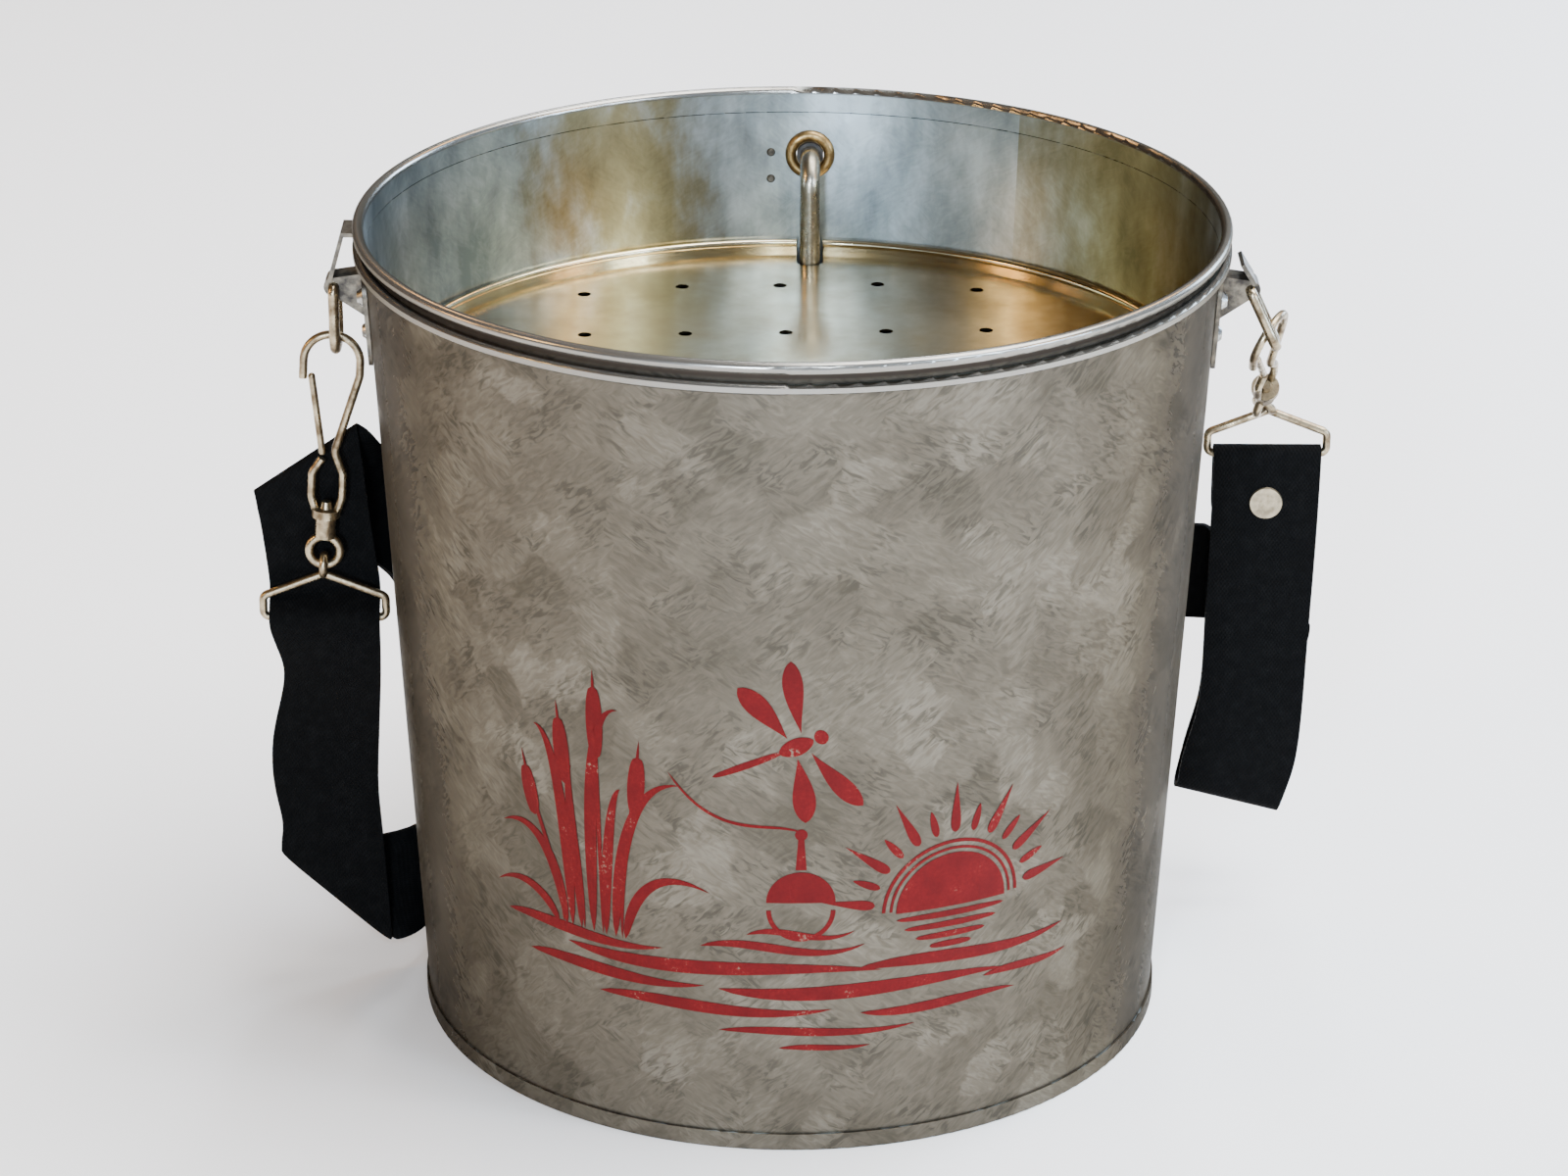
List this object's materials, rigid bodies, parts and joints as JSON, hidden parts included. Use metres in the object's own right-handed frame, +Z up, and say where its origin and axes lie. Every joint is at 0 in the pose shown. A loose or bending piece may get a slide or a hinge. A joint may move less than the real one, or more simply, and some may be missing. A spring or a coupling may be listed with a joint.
{
  "type": "aerated bait bucket",
  "caption": "Tapered galvanised bait pail with a lift-out perforated tray, an air tube through the wall and a webbing carry strap clipped to two ears.",
  "frame": {"origin": "centre of the pail's base on the ground", "axes": "+Z up along the pail's axis, +X to the ear on the right, -Y to the printed front, +Y to the air tube at the back"},
  "size_m": [0.3148, 0.2574, 0.2374],
  "materials": {
    "galvanised_sheet": "satin",
    "rim_steel": "satin",
    "tray_sheet": "satin",
    "tube_metal": "satin",
    "eyelet_brass": "satin",
    "bush_rubber": "matte",
    "air_stone": "matte",
    "ear_steel": "satin",
    "rivet_steel": "satin",
    "snap_metal": "satin",
    "webbing": "matte",
    "strap_rivet": "satin"
  },
  "bodies": {
    "pail": {"pail_wall": "galvanised_sheet", "pail_bottom": "galvanised_sheet", "rim_wire": "rim_steel", "air_tube": "tube_metal", "tube_eyelet": "eyelet_brass", "tube_bush": "bush_rubber", "air_stone": "air_stone", "wall_rivets": "rivet_steel", "ear_left": "ear_steel", "ear_right": "ear_steel", "ear_rivets_left": "rivet_steel", "ear_rivets_right": "rivet_steel"},
    "tray": {"perforated_tray": "tray_sheet"},
    "link_left": {"link_left": "snap_metal"},
    "link_right": {"link_right": "snap_metal"},
    "strap": {"strap": "webbing", "strap_rivet": "strap_rivet", "swivel_pin_left": "snap_metal", "swivel_eye_left": "snap_metal", "strap_ring_left": "snap_metal", "swivel_pin_right": "snap_metal", "swivel_eye_right": "snap_metal", "strap_ring_right": "snap_metal"},
    "snap_left": {"snap_left": "snap_metal"},
    "snap_right": {"snap_right": "snap_metal"},
    "gate_left": {"snap_gate_left": "snap_metal"},
    "gate_right": {"snap_gate_right": "snap_metal"}
  },
  "joints": [
    {"name": "tray_lift", "type": "slide", "parent": "pail", "child": "tray", "axis": [0, 0, 1], "range_m": [0, 0.12]},
    {"name": "strap_swing", "type": "hinge", "parent": "pail", "child": "strap", "pos_m": [0, 0, 0.2035], "axis": [1, 0, 0], "range_deg": [0, 50]},
    {"name": "link_left_swing", "type": "hinge", "parent": "pail", "child": "link_left", "pos_m": [-0.1283, 0, 0.2165], "axis": [0, 1, 0], "range_deg": [-1.5, 3]},
    {"name": "link_right_swing", "type": "hinge", "parent": "pail", "child": "link_right", "pos_m": [0.1283, 0, 0.2165], "axis": [0, -1, 0], "range_deg": [-3, 3]},
    {"name": "swivel_left", "type": "hinge", "parent": "strap", "child": "snap_left", "pos_m": [-0.1293, 0, 0.201], "axis": [0.07, 0, 0.9975], "range_deg": [-20, 20]},
    {"name": "gate_left", "type": "hinge", "parent": "snap_left", "child": "gate_left", "pos_m": [-0.13355, 0, 0.16551], "axis": [0, 1, 0], "range_deg": [0, 14], "stiffness_Nm_per_rad": 0.02, "springref_deg": -8.59},
    {"name": "swivel_right", "type": "hinge", "parent": "strap", "child": "snap_right", "pos_m": [0.13437, 0, 0.2035], "axis": [-0.0738, -0.7831, 0.6175], "range_deg": [-20, 5]},
    {"name": "gate_right", "type": "hinge", "parent": "snap_right", "child": "gate_right", "pos_m": [0.13602, 0.02712, 0.18027], "axis": [-0.8268, 0.3943, 0.4012], "range_deg": [0, 14], "stiffness_Nm_per_rad": 0.02, "springref_deg": -8.59}
  ]
}
